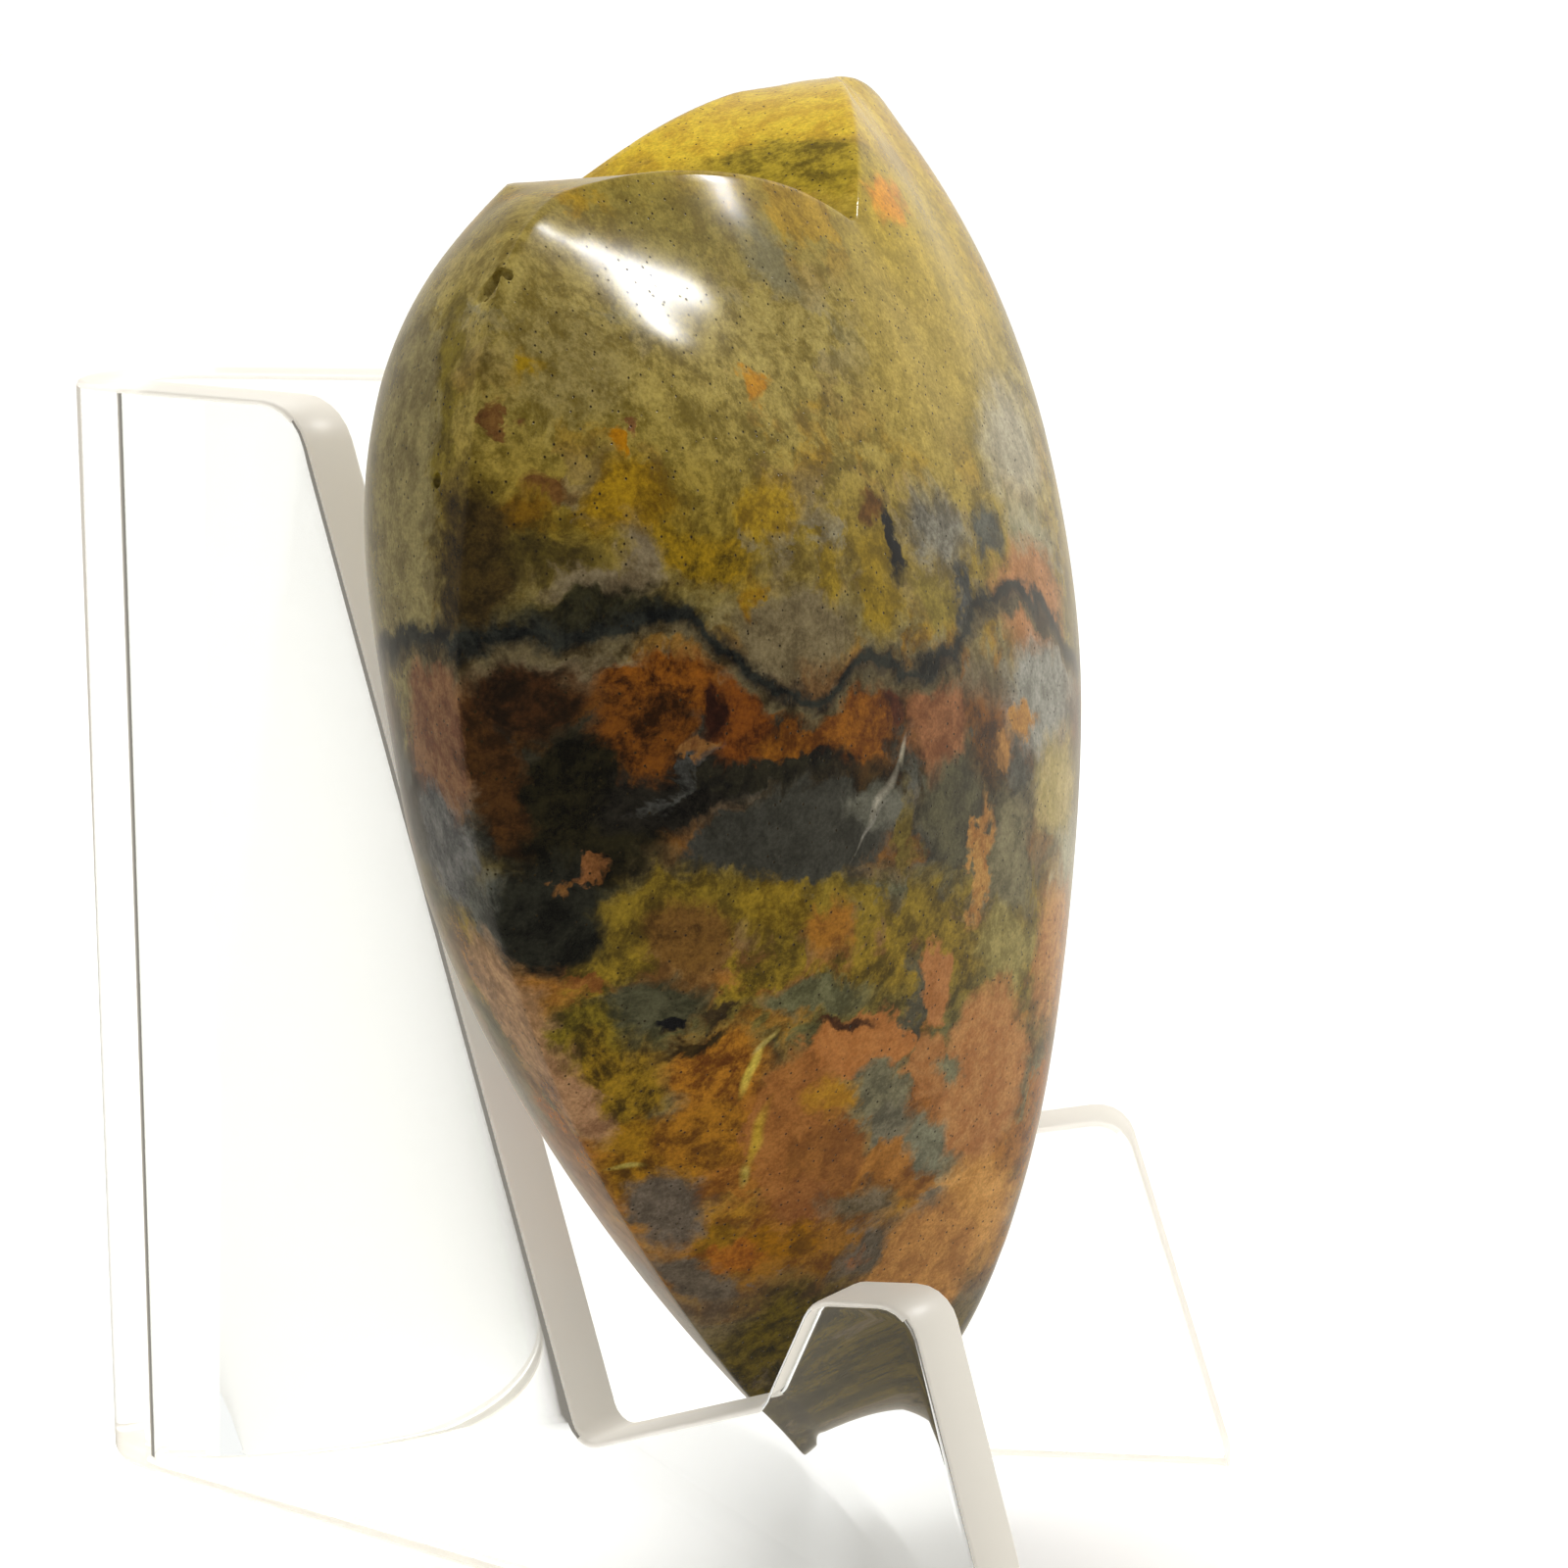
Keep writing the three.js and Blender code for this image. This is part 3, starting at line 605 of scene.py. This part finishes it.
def body_mask(space, centre, half, turn, softness):
    """1 inside an ellipsoid of a pattern space and 0 outside it."""
    if (space, turn) not in turned_spaces:
        turned_spaces[space, turn] = add_node(rock, "Mapping", {"vector_type": "TEXTURE"}, {
            "Vector": space, "Rotation": (0, 0, math.radians(turn))}).outputs["Vector"]
    middle = Vector(centre)
    middle.rotate(Euler((0, 0, math.radians(-turn))))
    local = add_node(rock, "VectorMath", {"operation": "MULTIPLY_ADD"}, {
        0: turned_spaces[space, turn],
        1: [1 / h for h in half],
        2: [-m / h for m, h in zip(middle, half)]})
    reach = add_node(rock, "VectorMath", {"operation": "LENGTH"}, {0: local.outputs["Vector"]})
    inside = add_node(rock, "MapRange", {"interpolation_type": "SMOOTHSTEP"}, {
        "Value": reach.outputs["Value"], "From Min": 1 + softness, "From Max": 1 - softness})
    return inside.outputs["Result"]


for space, rows in ((ragged, BODIES), (broad, THREADS)):
    for *ellipsoid, light_tone, dark_tone in rows:
        mask = body_mask(space, *ellipsoid)
        coats = laid_over(coats, mask, (linear(light_tone), linear(dark_tone)))
print("turned spaces:", len(turned_spaces))

# %% [markdown]
# A blue-black vein of manganese crosses the stone under the khaki, with a greyish seam
# below it. It wanders up and down, so its height is a curve of the place across.

# %% The black vein
# Each point: place across and height, in millimetres from the tip
VEIN_PATH = [
    (-20.0, 36.2), (-17.9, 35.8), (-16.0, 36.0), (-14.2, 35.8), (-12.2, 36.3), (-10.1, 36.4),
    (-8.4, 37.0), (-6.7, 36.9), (-5.3, 36.1), (-4.2, 34.8), (-3.1, 34.2), (-2.0, 34.1),
    (-0.9, 34.8), (0.2, 35.6), (1.8, 35.4), (3.1, 35.6), (3.9, 37.0), (6.0, 38.5),
    (10.0, 36.0), (15.0, 37.5), (20.0, 36.2),
]
VEIN_FROM, VEIN_TO = -20.0, 20.0
VEIN_LOW, VEIN_HIGH = 30.0, 42.0
across = add_node(rock, "SeparateXYZ", inputs={"Vector": broad}).outputs["X"]
share_across = add_node(rock, "MapRange", inputs={
    "Value": across, "From Min": VEIN_FROM, "From Max": VEIN_TO}).outputs["Result"]
path = add_node(rock, "FloatCurve", inputs={"Value": share_across})
points = path.mapping.curves[0].points
spots = [((x - VEIN_FROM) / (VEIN_TO - VEIN_FROM), (y - VEIN_LOW) / (VEIN_HIGH - VEIN_LOW))
         for x, y in VEIN_PATH]
points[0].location = spots[0]
points[1].location = spots[-1]
for spot in spots[1:-1]:
    points.new(*spot)
path.mapping.update()
vein_height = add_node(rock, "MapRange", inputs={
    "Value": path.outputs["Value"], "To Min": VEIN_LOW, "To Max": VEIN_HIGH}).outputs["Result"]
above_vein = add_node(rock, "Math", {"operation": "SUBTRACT"}, {
    0: up, 1: vein_height}).outputs["Value"]
print("vein points:", len(VEIN_PATH))

# %% [markdown]
# The vein is drawn as two seams that follow the curve, the grey one first and the black one
# over it. A seam lies where the distance from its own height is less than its half width.

# %% The two seams of the vein
# Each row: height above the curve, half width, softness in millimetres, light tone, dark tone
SEAMS = [
    (-0.62, 0.36, 0.28, "665a3e", "382d18"),
    (0.0, 0.44, 0.36, "2e302a", "0c0f10"),
]
for height, half, soft, light_tone, dark_tone in SEAMS:
    off = add_node(rock, "Math", {"operation": "SUBTRACT"}, {0: above_vein, 1: height})
    gap = add_node(rock, "Math", {"operation": "ABSOLUTE"}, {0: off.outputs["Value"]})
    seam = add_node(rock, "MapRange", {"interpolation_type": "SMOOTHSTEP"}, {
        "Value": gap.outputs["Value"], "From Min": half + soft, "From Max": half - soft})
    coats = laid_over(coats, seam.outputs["Result"], (linear(light_tone), linear(dark_tone)))
print("seams:", len(SEAMS))

# %% [markdown]
# Close up, the stone is grainy. One noise picks between the light and the dark coat, and a
# finer one stipples the whole. A painted speckle could do it, but noise in space also runs
# down into the pits.

# %% Grain
CLOUD_MM = 1.2
# The real grains are finer than this, and are drawn as coarse as they need to show
STIPPLE_MM = 0.16
light_coat, dark_coat = coats
clouds = add_node(rock, "TexNoise", inputs={
    "Vector": broad, "Scale": 1 / CLOUD_MM, "Detail": 9.0, "Roughness": 0.75})
light_share = add_node(rock, "MapRange", {"interpolation_type": "SMOOTHSTEP"}, {
    "Value": clouds.outputs["Fac"], "From Min": 0.38, "From Max": 0.62})
mottled = add_node(rock, "Mix", {"data_type": "RGBA"}, {
    "Factor": light_share.outputs["Result"], MIX_BELOW: dark_coat, MIX_ABOVE: light_coat})
stipple = add_node(rock, "TexNoise", inputs={
    "Vector": laid, "Scale": 1 / STIPPLE_MM, "Detail": 3.0, "Roughness": 0.7})
shade = add_node(rock, "MapRange", {"interpolation_type": "SMOOTHSTEP"}, {
    "Value": stipple.outputs["Fac"], "From Min": 0.3, "From Max": 0.7,
    "To Min": 0.78, "To Max": 1.16})
stippled = add_node(rock, "Mix", {"data_type": "RGBA", "blend_type": "MULTIPLY"}, {
    "Factor": 1.0, MIX_BELOW: mottled.outputs[MIX_RESULT], MIX_ABOVE: shade.outputs["Result"]})
print("grain:", CLOUD_MM, "and", STIPPLE_MM, "mm")

# %% [markdown]
# Tiny pinholes break the polish wherever a grain has come out. They are too small to cut, so
# a Voronoi pattern dents them through a Bump node and paints shade into them as a dark
# colour. Quartz and carbonate bend light by about 1.54. The specular level is turned down
# until the dark bands mirror as little of the room as the real ones do.

# %% Pinholes and polish
PINHOLE_SPACING_MM = 0.42
PINHOLE_RIM, PINHOLE_FLOOR = 0.16, 0.07
PINHOLE_DEPTH = 0.04 * MM
holes = add_node(rock, "TexVoronoi", inputs={
    "Vector": laid, "Scale": 1 / PINHOLE_SPACING_MM, "Randomness": 1.0})
hole = add_node(rock, "MapRange", {"interpolation_type": "SMOOTHSTEP"}, {
    "Value": holes.outputs["Distance"], "From Min": PINHOLE_RIM, "From Max": PINHOLE_FLOOR})
# painted shade: the pinholes are coloured dark for the shade inside each little hole
pinholes_shade_painted = add_node(rock, "Mix", {"data_type": "RGBA"}, {
    "Factor": hole.outputs["Result"], MIX_BELOW: stippled.outputs[MIX_RESULT],
    MIX_ABOVE: linear("2a2210")})
dent = add_node(rock, "Bump", {"invert": True}, {
    "Height": hole.outputs["Result"], "Strength": 0.5, "Distance": PINHOLE_DEPTH})
jasper_shader = add_node(rock, "BsdfPrincipled", inputs={
    "Base Color": pinholes_shade_painted.outputs[MIX_RESULT], "Roughness": 0.14, "IOR": 1.54,
    "Specular IOR Level": 0.16, "Normal": dent.outputs["Normal"]})
rock.links.new(jasper_shader.outputs["BSDF"], jasper_output.inputs["Surface"])
stone.data.materials.append(jasper)
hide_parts("heart")
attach(stone, "root")
print("jasper has", len(rock.nodes), "nodes")

# %% [markdown]
# The easel is one strip of acrylic sheet, cut with a saw, warmed, and folded round a bar.
# Its shape is right in the solid, but no cut edge is as sharp as a solid's: a scraper takes
# the corner off. So the flat triangles of a copy are joined into whole faces, and a Bevel
# modifier rounds every edge between them. The bend itself stays smooth.

# %% The easel's sheet
FLAT_ANGLE = math.radians(1)
EASED_BY = 0.25 * MM
EASED_STEPS = 2
CUT_ANGLE = math.radians(40)
SOFT_ANGLE = math.radians(35)
sheet = copy_of_node("easel", "easel_sheet")
bpy.ops.object.mode_set(mode="EDIT")
bpy.ops.mesh.select_all(action="SELECT")
bpy.ops.mesh.dissolve_limited(angle_limit=FLAT_ANGLE)
bpy.ops.object.mode_set(mode="OBJECT")
bevel = sheet.modifiers.new("eased edges", "BEVEL")
bevel.width = EASED_BY
bevel.segments = EASED_STEPS
bevel.limit_method = "ANGLE"
bevel.angle_limit = CUT_ANGLE
bpy.ops.object.modifier_apply(modifier=bevel.name)
bpy.ops.object.shade_smooth_by_angle(angle=SOFT_ANGLE)
print("sheet has", len(sheet.data.polygons), "faces")

# %% [markdown]
# Cast acrylic is clear as water on its two faces and milky where a saw has cut it, so the one
# sheet needs several finishes. Acrylic bends light by 1.49. Round the tight fold that much
# bending would pile up dark mirrored lines, which the real one doesn't show, so the fold
# gets a lower value, and the eye sees an outline with clean white behind it.

# %% The finishes of the acrylic
ACRYLICS = [
    # Cast between plates of glass: nearly invisible, with a fine line where its outline turns
    ("clear cast acrylic", {
        "Base Color": linear("fcfdfc"), "Roughness": 0.02, "IOR": 1.49,
        "Transmission Weight": 1.0}),
    # Warmed and bent round a bar: as clear, with hardly a line
    ("clear acrylic of the fold", {
        "Base Color": linear("fdfefd"), "Roughness": 0.02, "IOR": 1.12,
        "Transmission Weight": 1.0}),
    # Sawn and scraped: milky, with a weak painted glow that stands in for light the clear faces
    # gather
    ("saw cut acrylic edge", {
        "Base Color": linear("ece8de"), "Roughness": 0.35, "IOR": 1.49,
        "Transmission Weight": 0.5,
        "Emission Color": linear("f6f1e6"), "Emission Strength": 0.28}),
]
for name, look in ACRYLICS:
    acrylic, acrylic_tree, acrylic_output = new_material(name)
    acrylic_shader = add_node(acrylic_tree, "BsdfPrincipled", inputs=look)
    acrylic_tree.links.new(acrylic_shader.outputs["BSDF"], acrylic_output.inputs["Surface"])
    sheet.data.materials.append(acrylic)
print("finishes:", [material.name for material in sheet.data.materials])

# %% [markdown]
# Which finish a face gets follows from the way it points. The wings' faces stand upright and
# point sideways, and the fold's are upright and far back. All others are cut edges: slanted,
# or upright at the front. A clear sheet throws next to no shadow and is hardly mirrored in
# the stone, so it is hidden from shadow rays and from mirror reflections.

# %% Clear faces, fold and cut edges
CLEAR, FOLD, SAW_CUT = range(len(ACRYLICS))
FOLD_FROM_Y = 14 * MM
MOST_SLANT = 0.3
LEAST_SIDEWAYS = 0.8
for face in sheet.data.polygons:
    upright = abs(face.normal.z) < MOST_SLANT
    if upright and face.center.y > FOLD_FROM_Y:
        face.material_index = FOLD
    elif upright and abs(face.normal.x) > LEAST_SIDEWAYS:
        face.material_index = CLEAR
    else:
        face.material_index = SAW_CUT
print("cut faces:", sum(face.material_index == SAW_CUT for face in sheet.data.polygons))
sheet.visible_shadow = False
sheet.visible_glossy = False
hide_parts("easel")
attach(sheet, "root")
